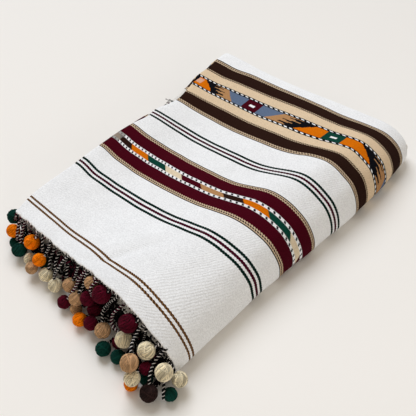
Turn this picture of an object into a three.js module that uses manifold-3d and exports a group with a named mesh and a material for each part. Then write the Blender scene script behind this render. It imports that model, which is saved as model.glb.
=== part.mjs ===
// A hand-woven wool shawl folded into a thick block, with twisted cords and yarn pompoms along
// its near end. The block lies on z = 0. X runs across it, from the open side to the side fold,
// and Y runs along it, from the fringed end to the far fold.
import * as THREE from 'three';
import { mergeVertices } from 'three/addons/utils/BufferGeometryUtils.js';
import Module from 'manifold-3d';

const wasm = await Module();
wasm.setup();

// Driving dimensions in millimetres
const CLOTH = 2.2; // thickness of the wool cloth
const GAP = 0.3; // air between neighbouring pieces
const LEFT = -140; // open side of the block
const NEAR = -182; // fringed edge, at the open side
const FAR = 188; // where the far fold begins to turn down
const FAR_ROLL = 22; // how far the far fold reaches beyond that
const FAR_TURN = 76; // degrees that each lip of the far fold turns
const CREASE = 21; // height of the crease between the two far lips
const CORNER = 24; // how far the far corner of the side fold is rounded in
const VALLEY_AT = -80; // where the top lies lowest
const BULGE = 11; // height at which the side fold reaches furthest out
const TUCK = 12; // how far the side fold turns back under
const HOLD = 0.6; // air between the wall and the layers inside it
const RECESS = 7; // how far the hidden layers stay back from the fringed edge
const PROUD = 3; // how far the hidden layers peek out at the open side
const LAYER_RIDGE = 2; // depth of the step between two hidden layers
const HIDDEN_LAYERS = 6; // layers whose edges show in the stack
const STRIP = 2.4; // width of the strip that the fringe is rooted in
const CORD = 2.4; // diameter of a twisted cord
const LOW_STRIP_AT = 12; // height of the fringe of the lower layers

// The top of the block in sections along it, each at its y on the open side. skew is how much a
// section falls back for each mm across. The heights are at the open side, the valley and the
// crest, crestAt is where the crest lies, and edge is the reach of the side fold.
const SECTIONS = [
  { y: -182, skew: -0.1, left: 44, valley: 48, crest: 60, crestAt: 15, edge: 105 },
  { y: -160, skew: -0.1, left: 44, valley: 45, crest: 60, crestAt: 38, edge: 107 },
  { y: -90, skew: -0.03, left: 44, valley: 36, crest: 56, crestAt: 62, edge: 114 },
  { y: -50, skew: 0, left: 44, valley: 35, crest: 56, crestAt: 66, edge: 120 },
  { y: 0, skew: 0, left: 44, valley: 36, crest: 57, crestAt: 75, edge: 127 },
  { y: 70, skew: 0, left: 44, valley: 38, crest: 60, crestAt: 88, edge: 137 },
  { y: 130, skew: 0, left: 44, valley: 39, crest: 54, crestAt: 96, edge: 142 },
  { y: 188, skew: 0, left: 44, valley: 40, crest: 46, crestAt: 98, edge: 142 },
];

// Wool colours
const COLOURS = {
  white: 0xf0efed,
  inner: 0xdedcd8,
  cord: 0x3a3236,
  green: 0x0f4038,
  orange: 0xd9750f,
  cream: 0xcfc3a3,
  tan: 0xa98763,
  maroon: 0x5a0e2a,
  brown: 0x3a2624,
};

// The pompoms: across is x, out is the distance before the fringed edge, up is the height of the
// middle and size the diameter. A cord comes from the top edge or from the lower layers.
const POMPOMS = [
  { colour: 'green', across: -154, out: -2, up: 21, size: 18, from: 'top' },
  { colour: 'orange', across: -136, out: 12, up: 22, size: 16, from: 'top' },
  { colour: 'green', across: -134, out: 14, up: 8, size: 15, from: 'low' },
  { colour: 'green', across: -120, out: 19, up: 12, size: 17, from: 'top' },
  { colour: 'orange', across: -106, out: 8, up: 26, size: 18, from: 'top' },
  { colour: 'cream', across: -104, out: 17, up: 8, size: 14, from: 'low' },
  { colour: 'tan', across: -90, out: 23, up: 12, size: 14, from: 'low' },
  { colour: 'orange', across: -83, out: 16, up: 24, size: 15, from: 'top' },
  { colour: 'green', across: -86, out: 7, up: 11, size: 14, from: 'low' },
  { colour: 'cream', across: -71, out: 19, up: 13, size: 16, from: 'top' },
  { colour: 'cream', across: -54, out: 20, up: 12, size: 16, from: 'top' },
  { colour: 'tan', across: -35, out: 13, up: 23, size: 16, from: 'top' },
  { colour: 'maroon', across: -33, out: 25, up: 9, size: 15, from: 'low' },
  { colour: 'tan', across: -19, out: 18, up: 20, size: 16, from: 'top' },
  { colour: 'maroon', across: -6, out: 13, up: 29, size: 16, from: 'top' },
  { colour: 'tan', across: -6, out: 4, up: 45, size: 15, from: 'top' },
  { colour: 'maroon', across: 11, out: 6, up: 46, size: 20, from: 'top' },
  { colour: 'orange', across: -6, out: 27, up: 9, size: 15, from: 'low' },
  { colour: 'maroon', across: 0, out: 11, up: 14, size: 16, from: 'low' },
  { colour: 'maroon', across: 8, out: 23, up: 14, size: 15, from: 'low' },
  { colour: 'tan', across: 24, out: 22, up: 16, size: 17, from: 'top' },
  { colour: 'maroon', across: 51, out: 8, up: 42, size: 20, from: 'top' },
  { colour: 'cream', across: 50, out: 16, up: 23, size: 18, from: 'top' },
  { colour: 'green', across: 34, out: 31, up: 8, size: 16, from: 'low' },
  { colour: 'maroon', across: 42, out: 17, up: 9, size: 14, from: 'low' },
  { colour: 'green', across: 51, out: 27, up: 8, size: 15, from: 'low' },
  { colour: 'cream', across: 79, out: 12, up: 31, size: 18, from: 'top' },
  { colour: 'tan', across: 78, out: 33, up: 37, size: 18, from: 'top' },
  { colour: 'cream', across: 82, out: 36, up: 22, size: 16, from: 'low' },
  { colour: 'orange', across: 80, out: 36, up: 7, size: 14, from: 'low' },
  { colour: 'maroon', across: 85, out: 20, up: 22, size: 13, from: 'low' },
  { colour: 'green', across: 87, out: 24, up: 8, size: 14, from: 'low' },
  { colour: 'brown', across: 99, out: 32, up: 11, size: 18, from: 'top' },
  { colour: 'cream', across: 103, out: 14, up: 27, size: 18, from: 'top' },
  { colour: 'cream', across: 113, out: 5, up: 13, size: 16, from: 'top' },
  { colour: 'green', across: 114, out: 18, up: 8, size: 14, from: 'low' },
  { colour: 'tan', across: -20, out: 21, up: 7, size: 13, from: 'low' },
];

const lerp = (a, b, t) => a + (b - a) * t;
const smooth = (t) => THREE.MathUtils.smoothstep(t, 0, 1);

// One section of the table, blended for any y along the open side.
function sectionAt(y) {
  const last = SECTIONS.length - 2;
  const after = SECTIONS.findIndex((row) => row.y > y);
  const k = after < 0 ? last : THREE.MathUtils.clamp(after - 1, 0, last);
  const t = THREE.MathUtils.clamp((y - SECTIONS[k].y) / (SECTIONS[k + 1].y - SECTIONS[k].y), 0, 1);
  const blend = smooth(t) * 0.5 + t * 0.5;
  const row = {};
  for (const name of Object.keys(SECTIONS[k])) {
    row[name] = lerp(SECTIONS[k][name], SECTIONS[k + 1][name], blend);
  }
  return row;
}

// Height of the top between the open side and the crest.
function topHeight(row, x) {
  if (x < VALLEY_AT) {
    return lerp(row.left, row.valley, smooth((x - LEFT) / (VALLEY_AT - LEFT)));
  }
  return lerp(row.valley, row.crest, smooth((x - VALLEY_AT) / (row.crestAt - VALLEY_AT)));
}

// The path of a section from the top of the open side, over the crest and round the side fold,
// to the underside of the open side. Its four stretches end at these shares of the way.
const CREST_SHARE = 0.36;
const BULGE_SHARE = 0.56;
const TUCK_SHARE = 0.64;

function pathPoint(row, u) {
  if (u < CREST_SHARE) {
    const x = lerp(LEFT, row.crestAt, u / CREST_SHARE);
    return [x, topHeight(row, x)];
  }
  if (u < BULGE_SHARE) {
    const turn = (((u - CREST_SHARE) / (BULGE_SHARE - CREST_SHARE)) * Math.PI) / 2;
    const x = lerp(row.crestAt, row.edge, Math.sin(turn));
    return [x, lerp(BULGE, row.crest, Math.cos(turn))];
  }
  if (u < TUCK_SHARE) {
    const turn = (((u - BULGE_SHARE) / (TUCK_SHARE - BULGE_SHARE)) * Math.PI) / 2;
    return [row.edge - TUCK * (1 - Math.cos(turn)), BULGE * (1 - Math.sin(turn))];
  }
  return [lerp(row.edge - TUCK, LEFT, (u - TUCK_SHARE) / (1 - TUCK_SHARE)), 0];
}

// A point of the outer face of the cloth. v is y at the open side, and past FAR it is the turn
// of the far fold in degrees, where both lips close towards the crease.
function outerPoint(u, v) {
  const row = sectionAt(Math.min(v, FAR));
  const [x, z] = pathPoint(row, u);
  const turn = THREE.MathUtils.degToRad(Math.max(v - FAR, 0));
  const side = smooth((x - row.edge + 70) / 70);
  const px = x - CORNER * (1 - Math.cos(turn)) * side;
  const py = Math.min(v, FAR) + row.skew * (x - LEFT) + FAR_ROLL * Math.sin(turn);
  return new THREE.Vector3(px, py, lerp(CREASE, z, Math.cos(turn)));
}

function outwardNormal(u, v) {
  const du = outerPoint(Math.min(u + 0.004, 1), v).sub(outerPoint(Math.max(u - 0.004, 0), v));
  const low = Math.max(v - 1, NEAR);
  const dv = outerPoint(u, v + 1).sub(outerPoint(u, low));
  return du.cross(dv).normalize();
}

// A point at a depth below the outer face, measured square to it.
const below = (u, v, depth) => outerPoint(u, v).addScaledVector(outwardNormal(u, v), -depth);

// A mesh from quads given by a grid of vertex keys; every vertex is shared.
class Patchwork {
  constructor() {
    this.points = [];
    this.faces = [];
  }
  add(point) {
    this.points.push(point.x, point.y, point.z);
    return this.points.length / 3 - 1;
  }
  sheet(rows, flip) {
    for (let j = 0; j + 1 < rows.length; j += 1) {
      for (let i = 0; i + 1 < rows[j].length; i += 1) {
        const [a, b, c, d] = [rows[j][i], rows[j][i + 1], rows[j + 1][i + 1], rows[j + 1][i]];
        this.triangle(a, b, c, flip);
        this.triangle(a, c, d, flip);
      }
    }
  }
  triangle(a, b, c, flip) {
    if (a === b || b === c || c === a) return;
    this.faces.push(...(flip ? [a, c, b] : [a, b, c]));
  }
  geometry() {
    const made = new THREE.BufferGeometry();
    made.setAttribute('position', new THREE.Float32BufferAttribute(this.points, 3));
    made.setIndex(this.faces);
    made.computeVertexNormals();
    return made;
  }
}

function spaced(from, to, count) {
  return Array.from({ length: count + 1 }, (_, i) => lerp(from, to, i / count));
}

// Stations along the block, then round the far fold, and shares of the way across. The layers
// inside use the same ones, so that their faces lie parallel to the wall.
const ALONG = [
  NEAR,
  ...spaced(NEAR + RECESS, FAR, 18),
  ...spaced(FAR, FAR + FAR_TURN, 5).slice(1),
];
const ACROSS = [
  ...spaced(0, CREST_SHARE, 10),
  ...spaced(CREST_SHARE, BULGE_SHARE, 8).slice(1),
  ...spaced(BULGE_SHARE, TUCK_SHARE, 3).slice(1),
  ...spaced(TUCK_SHARE, 1, 9).slice(1),
];

// The cloth that shows: one wall over the top, round the side fold and under the block.
function outerLayer() {
  const work = new Patchwork();
  const outside = ALONG.map((v) => ACROSS.map((u) => work.add(outerPoint(u, v))));
  const inside = ALONG.map((v) => ACROSS.map((u) => work.add(below(u, v, CLOTH))));
  work.sheet(outside, false);
  work.sheet(inside, true);
  const end = ALONG.length - 1;
  work.sheet([inside[0], outside[0]], false);
  work.sheet([outside[end], inside[end]], false);
  const last = ACROSS.length - 1;
  work.sheet([outside.map((row) => row[0]), inside.map((row) => row[0])], false);
  work.sheet([inside.map((row) => row[last]), outside.map((row) => row[last])], false);
  return work.geometry();
}

// The layers inside, as one rounded solid: the space in the wall, filled across from the top
// path to the bottom path, with a ridge for each layer where the stack is open.
function hiddenLayers() {
  const work = new Patchwork();
  const levels = HIDDEN_LAYERS * 2;
  const half = (ACROSS.length - 1) / 2;
  const down = ACROSS.slice(0, half + 1);
  const up = ACROSS.slice(half).reverse();
  const stations = ALONG.slice(1);
  const ridge = (k) => (k % 2 === 1 ? 1 : 0) * LAYER_RIDGE;
  const last = stations.length - 1;
  const place = (i, j, k) => {
    const high = below(down[i], stations[j], CLOTH + HOLD);
    const low = below(up[i], stations[j], CLOTH + HOLD);
    const spot = low.lerp(high, k / levels);
    const inner = k > 0 && k < levels;
    if (inner && i === 0) spot.x -= PROUD + ridge(k) - LAYER_RIDGE;
    const well = inner && i < half - 3;
    if (well && j === 0) spot.y -= ridge(k);
    if (well && j === last && k > 1 && k < levels - 1) spot.y += ridge(k) / 2;
    return spot;
  };
  const index = new Map();
  const vertex = (i, j, k) => {
    const key = i === half ? `${i} ${j}` : `${i} ${j} ${k}`;
    if (!index.has(key)) index.set(key, work.add(place(i, j, k)));
    return index.get(key);
  };
  const columns = down.map((_, i) => i);
  const rows = stations.map((_, j) => j);
  const heights = spaced(0, levels, levels);
  work.sheet(rows.map((j) => columns.map((i) => vertex(i, j, levels))), false);
  work.sheet(rows.map((j) => columns.map((i) => vertex(i, j, 0))), true);
  work.sheet(heights.map((k) => rows.map((j) => vertex(0, j, k))), true);
  work.sheet(heights.map((k) => columns.map((i) => vertex(i, 0, k))), false);
  work.sheet(heights.map((k) => columns.map((i) => vertex(i, last, k))), true);
  return work.geometry();
}

// Where the fringed edge lies in plan.
const edgeY = (x) => NEAR + SECTIONS[0].skew * (x - LEFT);

const toSolid = (geometry) => {
  const bare = geometry.clone();
  bare.deleteAttribute('normal');
  bare.deleteAttribute('uv');
  const merged = mergeVertices(bare, 1e-4);
  return new wasm.Manifold(
    new wasm.Mesh({
      numProp: 3,
      vertProperties: new Float32Array(merged.attributes.position.array),
      triVerts: new Uint32Array(merged.index.array),
    }),
  );
};

const toGeometry = (solid) => {
  const mesh = solid.getMesh();
  const made = new THREE.BufferGeometry();
  made.setAttribute('position', new THREE.Float32BufferAttribute(mesh.vertProperties, 3));
  made.setIndex([...mesh.triVerts]);
  made.computeVertexNormals();
  return made;
};

// The edge path reaches the height of a given x at this share of the way.
function shareAt(x) {
  const row = SECTIONS[0];
  if (x < row.crestAt) return (CREST_SHARE * (x - LEFT)) / (row.crestAt - LEFT);
  const turn = Math.asin((x - row.crestAt) / (row.edge - row.crestAt)) / (Math.PI / 2);
  return lerp(CREST_SHARE, BULGE_SHARE, turn);
}

const RIM_REACH = 60; // how far across the rim stands over the pompoms under it
const STRIP_TOP = LOW_STRIP_AT + CLOTH + GAP;
const EDGE_AT_FLOOR = SECTIONS[0].edge;

// Keeps a round thing in front of the fringed edge and its strips, or under the rim where it is
// low enough, or beside the block if it lies there.
function holdClear(place, radius, side) {
  if (side === 'left') {
    place.x = Math.min(place.x, LEFT - PROUD - radius - GAP);
  } else if (side === 'right') {
    place.x = Math.max(place.x, EDGE_AT_FLOOR + radius + GAP);
  } else {
    const rim = topHeight(SECTIONS[0], place.x) - CLOTH - GAP;
    const under = place.x < RIM_REACH && place.z + radius < rim && place.z - radius > STRIP_TOP;
    const clear = under ? GAP + LAYER_RIDGE - RECESS : STRIP + GAP * 2;
    place.y = Math.min(place.y, edgeY(place.x) - radius - clear);
  }
  place.z = Math.max(place.z, radius + GAP);
}

// The pompoms, set down one against another: each pair that meets is pushed apart.
function settledPompoms() {
  const balls = POMPOMS.map((row, n) => ({
    ...row,
    name: `pompom_${row.colour}_${String(n + 1).padStart(2, '0')}`,
    radius: row.size / 2,
    side: row.across < LEFT ? 'left' : row.across > EDGE_AT_FLOOR ? 'right' : 'front',
    place: new THREE.Vector3(row.across, edgeY(row.across) - row.out, row.up),
  }));
  for (let round = 0; round < 500; round += 1) {
    balls.forEach((ball, n) => {
      balls.slice(n + 1).forEach((other) => {
        const away = other.place.clone().sub(ball.place);
        const missing = ball.radius + other.radius + GAP * 1.5 - away.length();
        if (missing <= 0) return;
        away.setLength(missing * 0.3);
        other.place.add(away);
        ball.place.sub(away);
      });
      holdClear(ball.place, ball.radius, ball.side);
    });
  }
  return balls;
}

const CORD_POINTS = 11;
const SLACK = 1.1; // a cord's length over the way from its root to its pompom
const SAG = 0.02; // how far a point of a cord drops in each round
const ROOTS_APART = CORD * 1.9;
const LAST_ROOT = { top: 99, low: 86 };

// The roots of the cords on the two strips, each near its pompom and apart from its neighbours.
function cordRoots(balls) {
  const cords = balls.map((ball) => ({ ball, x: ball.place.x + 3 }));
  for (const from of ['top', 'low']) {
    const row = cords.filter((cord) => cord.ball.from === from).sort((a, b) => a.x - b.x);
    for (let round = 0; round < 200; round += 1) {
      row.forEach((cord, n) => {
        cord.x = THREE.MathUtils.clamp(cord.x, LEFT + CORD, LAST_ROOT[from]);
        if (n === 0) return;
        const missing = ROOTS_APART - (cord.x - row[n - 1].x);
        if (missing <= 0) return;
        cord.x += missing / 2;
        row[n - 1].x -= missing / 2;
      });
    }
  }
  for (const cord of cords) {
    const top = cord.ball.from === 'top';
    const height = top ? below(shareAt(cord.x), NEAR, CLOTH / 2).z : LOW_STRIP_AT;
    const out = (top ? GAP : GAP + LAYER_RIDGE - RECESS) + STRIP / 2;
    cord.root = new THREE.Vector3(cord.x, edgeY(cord.x) - out, height);
  }
  return cords;
}

// The way of each cord: a chain that sags from its root, keeps its length, ends on its pompom
// and slides off the other pompoms, the block, the floor and the other cords.
function hungCords(balls) {
  const radius = CORD / 2;
  const cords = cordRoots(balls);
  for (const cord of cords) {
    const { ball, root } = cord;
    const ahead = root.clone().setY(root.y - STRIP);
    cord.points = spaced(0, 1, CORD_POINTS - 1).map((t) => ahead.clone().lerp(ball.place, t));
    cord.points[0] = root;
    const way = root.distanceTo(ball.place) - ball.radius;
    cord.step = (way * SLACK) / (CORD_POINTS - 1);
  }
  const free = cords.flatMap((cord) => cord.points.slice(1, -1).map((point) => ({ cord, point })));
  const push = (point, from, least) => {
    const away = point.clone().sub(from);
    if (away.length() < least) point.copy(from).add(away.setLength(least));
  };
  for (let round = 0; round < 300; round += 1) {
    for (const { ball, points, step } of cords) {
      for (let n = 1; n < points.length; n += 1) {
        const link = points[n].clone().sub(points[n - 1]);
        const extra = link.length() - step;
        link.setLength(extra / 2);
        if (n > 1) points[n - 1].add(link);
        points[n].sub(link);
      }
      const end = points.at(-1);
      const turn = points.at(-2).clone().sub(ball.place).setLength(ball.radius + GAP * 1.5);
      end.copy(ball.place).add(turn);
    }
    for (const { cord, point } of free) {
      point.z -= SAG;
      for (const ball of balls) push(point, ball.place, ball.radius + radius + GAP * 1.5);
      if (point.x > LEFT - PROUD - CORD && point.x < EDGE_AT_FLOOR + CORD) {
        const top = cord.ball.from === 'top' || point.z > STRIP_TOP + radius;
        const out = radius + STRIP + GAP * 2 - (top ? 0 : RECESS - LAYER_RIDGE);
        point.y = Math.min(point.y, edgeY(point.x) - out);
      }
      point.z = Math.max(point.z, radius + GAP * 2);
    }
    for (let a = 0; a < free.length; a += 1) {
      for (let b = a + 1; b < free.length; b += 1) {
        if (free[a].cord === free[b].cord) continue;
        const away = free[b].point.clone().sub(free[a].point);
        const missing = CORD + GAP * 2 - away.length();
        if (missing > 0) {
          away.setLength(missing / 2);
          free[b].point.add(away);
          free[a].point.sub(away);
        }
      }
    }
  }
  return cords;
}

// A strip of cloth's thickness along a row of points, each with its upper and lower corner.
function strip(corners) {
  const work = new Patchwork();
  const rings = corners.map(({ high, low, back }) =>
    [[high, back], [high, back + STRIP], [low, back + STRIP], [low, back]].map(([point, out]) =>
      work.add(new THREE.Vector3(point.x, point.y - out, point.z)),
    ),
  );
  work.sheet(rings.map((ring) => [...ring, ring[0]]), false);
  for (const [ring, flip] of [[rings[0], true], [rings.at(-1), false]]) {
    work.triangle(ring[0], ring[1], ring[2], flip);
    work.triangle(ring[0], ring[2], ring[3], flip);
  }
  return work.geometry();
}

function cordGeometry(points) {
  const corners = [90, 210, 330].map((turn) => {
    const angle = THREE.MathUtils.degToRad(turn);
    return new THREE.Vector2(Math.cos(angle), Math.sin(angle)).multiplyScalar(CORD / 2);
  });
  const section = new THREE.Shape(corners);
  const extrudePath = new THREE.CatmullRomCurve3(points);
  return new THREE.ExtrudeGeometry(section, { steps: 8, extrudePath, bevelEnabled: false });
}

// One fringe: its strip with the roots of its cords fused in.
function fringe(cords, corners) {
  const whole = cords.reduce(
    (solid, cord) => solid.add(toSolid(cordGeometry(cord.points))),
    toSolid(strip(corners)),
  );
  return toGeometry(whole);
}

const topCorners = spaced(0, shareAt(LAST_ROOT.top + CORD), 24).map((u) => ({
  high: below(u, NEAR, 0),
  low: below(u, NEAR, CLOTH),
  back: GAP,
}));

const lowCorners = spaced(LEFT, LAST_ROOT.low + CORD, 2).map((x) => ({
  high: new THREE.Vector3(x, edgeY(x), LOW_STRIP_AT + CLOTH / 2),
  low: new THREE.Vector3(x, edgeY(x), LOW_STRIP_AT - CLOTH / 2),
  back: GAP + LAYER_RIDGE - RECESS,
}));

const wool = (colour, roughness) =>
  new THREE.MeshStandardMaterial({ color: COLOURS[colour], roughness, metalness: 0 });

function named(name, geometry, material) {
  const mesh = new THREE.Mesh(geometry, material);
  mesh.name = name;
  return mesh;
}

const shawl = new THREE.Group();
shawl.add(named('outer_layer', outerLayer(), wool('white', 0.9)));
shawl.add(named('hidden_layers', hiddenLayers(), wool('inner', 0.95)));

const balls = settledPompoms();
const cords = hungCords(balls);
const rootedIn = (from) => cords.filter((cord) => cord.ball.from === from);
shawl.add(named('fringe_top', fringe(rootedIn('top'), topCorners), wool('cord', 0.85)));
shawl.add(named('fringe_low', fringe(rootedIn('low'), lowCorners), wool('cord', 0.85)));

for (const ball of balls) {
  const mesh = named(ball.name, new THREE.SphereGeometry(ball.radius, 10, 6), wool(ball.colour, 0.9));
  mesh.position.copy(ball.place);
  mesh.rotation.x = Math.PI / 2;
  shawl.add(mesh);
}

export default shawl;
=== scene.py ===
import math

import bpy
import numpy as np
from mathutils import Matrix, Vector


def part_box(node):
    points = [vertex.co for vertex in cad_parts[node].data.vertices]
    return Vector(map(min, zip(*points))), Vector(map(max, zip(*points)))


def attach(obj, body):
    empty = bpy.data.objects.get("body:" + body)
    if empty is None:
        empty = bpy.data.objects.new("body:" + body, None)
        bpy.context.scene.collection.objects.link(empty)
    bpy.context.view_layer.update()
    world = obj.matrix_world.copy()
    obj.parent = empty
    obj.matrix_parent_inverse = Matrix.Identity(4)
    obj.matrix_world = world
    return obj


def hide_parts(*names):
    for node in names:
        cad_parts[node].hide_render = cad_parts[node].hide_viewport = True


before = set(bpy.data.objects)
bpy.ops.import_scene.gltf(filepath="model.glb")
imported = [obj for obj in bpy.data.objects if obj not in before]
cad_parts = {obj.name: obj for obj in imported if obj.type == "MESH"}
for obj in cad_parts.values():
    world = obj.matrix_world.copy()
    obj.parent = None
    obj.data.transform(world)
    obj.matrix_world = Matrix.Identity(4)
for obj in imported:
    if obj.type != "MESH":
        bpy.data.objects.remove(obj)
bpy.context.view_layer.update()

# The folded wool shawl: its cloth with the woven bands, the folded layers under it, the twisted
# fringe and the wound yarn pompoms. Lengths are millimetres until a mesh is made.
# X runs across the cloth, Y from the fringed edge to the far fold, Z up from the floor.

MM = 0.001
rng = np.random.default_rng(7)

# The form of the folded cloth, as in the part.

CLOTH = 2.2  # thickness of the cloth
HOLD = 0.6  # air between the outer layer and the layers in it
LEFT = -140.0  # open side of the block
NEAR = -182.0  # fringed edge, at the open side
FAR = 188.0  # where the far fold begins to turn down
FAR_ROLL = 22.0  # how far the far fold stands out past it
FAR_TURN = 76.0  # degrees that the far fold turns through
CREASE = 21.0  # height of the crease between the two far lips
CORNER = 24.0  # how far the corner of the far fold and the side fold is drawn in
VALLEY_AT = -80.0  # x of the valley along the top
BULGE = 11.0  # height at which the side fold reaches furthest
TUCK = 12.0  # how far the side fold turns in under the block
RECESS = 7.0  # how far the hidden layers lie behind the fringed edge
# Shares of the way round at which the crest, the bulge and the end of the tuck lie.
CREST_SHARE, BULGE_SHARE, TUCK_SHARE = 0.36, 0.56, 0.64

SECTION_COLUMNS = ("y", "skew", "left", "valley", "crest", "crest_at", "edge")
SECTION_ROWS = np.array([
    (-182, -0.10, 44, 48, 60, 15, 105),
    (-160, -0.10, 44, 45, 60, 38, 107),
    (-90, -0.03, 44, 36, 56, 62, 114),
    (-50, 0.00, 44, 35, 56, 66, 120),
    (0, 0.00, 44, 36, 57, 75, 127),
    (70, 0.00, 44, 38, 60, 88, 137),
    (130, 0.00, 44, 39, 54, 96, 142),
    (188, 0.00, 44, 40, 46, 98, 142),
], dtype=float)


def smooth(t):
    t = np.clip(t, 0.0, 1.0)
    return t * t * (3.0 - 2.0 * t)


def lerp(a, b, t):
    return a + (b - a) * t


def section_at(y):
    """The sizes of the cloth's section at y, by name."""
    stations = SECTION_ROWS[:, 0]
    row = np.clip(np.searchsorted(stations, y, side="right") - 1, 0, len(stations) - 2)
    t = np.clip((y - stations[row]) / (stations[row + 1] - stations[row]), 0.0, 1.0)
    blend = 0.5 * smooth(t) + 0.5 * t
    values = {}
    for column, name in enumerate(SECTION_COLUMNS):
        values[name] = lerp(SECTION_ROWS[row, column], SECTION_ROWS[row + 1, column], blend)
    return values


def top_height(row, x):
    outer = lerp(row["left"], row["valley"], smooth((x - LEFT) / (VALLEY_AT - LEFT)))
    inner = lerp(
        row["valley"], row["crest"], smooth((x - VALLEY_AT) / (row["crest_at"] - VALLEY_AT))
    )
    return np.where(x < VALLEY_AT, outer, inner)


def outer_height(row, x):
    """The height of the cloth's outer face at x, over the top and the upper side fold."""
    side = np.clip((x - row["crest_at"]) / (row["edge"] - row["crest_at"]), 0, 1)
    return np.where(
        x > row["crest_at"],
        lerp(BULGE, row["crest"], np.sqrt(1 - side ** 2)),
        top_height(row, np.maximum(x, LEFT)),
    )


def section_point(row, u):
    """x and z at the share u of the way over the top, round the side fold and back below."""
    quarter = math.pi / 2
    top_x = lerp(LEFT, row["crest_at"], u / CREST_SHARE)
    top_z = top_height(row, top_x)
    turn = np.clip((u - CREST_SHARE) / (BULGE_SHARE - CREST_SHARE), 0, 1) * quarter
    side_x = lerp(row["crest_at"], row["edge"], np.sin(turn))
    side_z = lerp(BULGE, row["crest"], np.cos(turn))
    turn = np.clip((u - BULGE_SHARE) / (TUCK_SHARE - BULGE_SHARE), 0, 1) * quarter
    tuck_x = row["edge"] - TUCK * (1 - np.cos(turn))
    tuck_z = BULGE * (1 - np.sin(turn))
    under_x = lerp(row["edge"] - TUCK, LEFT, (u - TUCK_SHARE) / (1 - TUCK_SHARE))
    parts = [u < CREST_SHARE, u < BULGE_SHARE, u < TUCK_SHARE]
    x = np.select(parts, [top_x, side_x, tuck_x], under_x)
    z = np.select(parts, [top_z, side_z, tuck_z], 0.0)
    return x, z


def form_point(u, v):
    """The cloth's smooth outer form. Past FAR, v goes on as the far fold's turn in degrees."""
    u, v = np.broadcast_arrays(np.asarray(u, float), np.asarray(v, float))
    row = section_at(np.minimum(v, FAR))
    x, z = section_point(row, u)
    turn = np.radians(np.maximum(v - FAR, 0.0))
    side = smooth((x - row["edge"] + 70.0) / 70.0)
    return np.stack([
        x - CORNER * (1 - np.cos(turn)) * side,
        np.minimum(v, FAR) + row["skew"] * (x - LEFT) + FAR_ROLL * np.sin(turn),
        lerp(CREASE, z, np.cos(turn)),
    ], axis=-1)


def surface_normal(point_at, u, v):
    """The outward unit normals of a surface given as a function of u and v."""
    step_u, step_v = 1e-3, 0.5
    du = point_at(u + step_u, v) - point_at(u - step_u, v)
    dv = point_at(u, v + step_v) - point_at(u, v - step_v)
    normal = np.cross(du, dv)
    return normal / np.maximum(np.linalg.norm(normal, axis=-1, keepdims=True), 1e-9)


# Where a point of the cloth lies: s across from the open side, t along from the fringe.

SHARES = np.linspace(0.0, 1.0, 1001)
MIDDLE = form_point(SHARES, 0.0)
ACROSS = np.concatenate([[0.0], np.cumsum(np.linalg.norm(np.diff(MIDDLE, axis=0), axis=1))])
FOLDED_WIDTH = ACROSS[-1]  # the cloth's own width, over the top, round the side and below
ROLL_LENGTH = math.radians(FAR_TURN) * 0.5 * (FAR_ROLL + CREASE)

# How far the stripes bend off a straight line, in mm along the cloth, read from the photo.
BOW_ACROSS = (0, 25, 50, 75, 100, 125, 150, 168, 185, 200, 215, 240, 275)
BOWS = {
    -182: (0, 0, 0, 0, 0, 0, 0, 0, 0, 0, 0, 0, 0),
    -161: (0, 0, -0.3, -0.3, 0.3, 0.6, -0.5, -1, -0.9, 0, 0.5, -0.6, -1.6),
    -86: (1.2, -1, 0, 0.5, -0.6, -1.3, -1.7, -1.2, -0.3, 1, 1.3, 1.2, 1.6),
    -55: (2.5, 0, 0, -0.3, -1.8, -3.2, -4, -4, -3, -2, -1.3, -1.4, -1.8),
    2: (1, -1, 0, -0.5, -3.5, -6.4, -8, -8, -6, -3, -1.9, -2.3, -3.8),
    36: (-2.2, -1, 0, -1.8, -4, -6.5, -8.8, -9.3, -7.5, -4, -1.6, -1.8, -2.6),
    72: (-0.5, -0.3, 0, -1.2, -3.5, -6, -7.8, -8, -6.3, -2.2, -0.6, -0.5, -1.5),
    96: (-2.5, -1, 0, -0.5, -3, -5.5, -7.5, -8.3, -6.6, -4.3, -2.2, -2, -4),
    117: (-1, -0.8, 0, 0, -1.8, -3.3, -4.8, -5, -3.8, -2, -0.6, -1, -4),
    135: (-3, -1.8, 0, 1.2, 0.2, -1.3, -3, -3.8, -3.5, -2.8, -2.2, -1.8, -2.8),
    157: (-3, -2, 0, 1.2, 0.8, -0.3, -1.5, -2.5, -2.5, -2.5, -2.5, -1.3, -2.5),
    176: (-3.6, -3.6, 0, 0.3, -1, -2.5, -4, -5.5, -6, -6, -5.6, -3, -3),
    188: (-1, -2.5, 0, -0.3, -1.8, -3, -4.5, -5.5, -5.5, -5.3, -4.6, -2, -3),
}


def curve_through(at, places, values):
    """A smooth curve through values at uneven places, level beyond its ends."""
    places, values = np.array(places, float), np.array(values, float)
    slopes = np.gradient(values, places)
    slopes[[0, -1]] = 0.0
    at = np.clip(at, places[0], places[-1])
    k = np.clip(np.searchsorted(places, at, side="right") - 1, 0, len(places) - 2)
    gap = places[k + 1] - places[k]
    t = (at - places[k]) / gap
    rise = values[k] + (values[k + 1] - values[k]) * smooth(t)
    return rise + gap * (slopes[k] * t * (1 - t) ** 2 - slopes[k + 1] * t ** 2 * (1 - t))


def bow(s, y):
    """The bow at s and y, running softly between the places of the table."""
    stations = sorted(BOWS)
    along = [curve_through(s, BOW_ACROSS, BOWS[t]) for t in stations]
    y = np.clip(y, stations[0], stations[-1])
    below = np.clip(np.searchsorted(stations, y, side="right") - 1, 0, len(stations) - 2)
    stack = np.stack(along)
    low = np.take_along_axis(stack, below[None], axis=0)[0]
    high = np.take_along_axis(stack, below[None] + 1, axis=0)[0]
    reach = np.array(stations, float)
    return lerp(low, high, smooth((y - reach[below]) / (reach[below + 1] - reach[below])))


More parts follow.
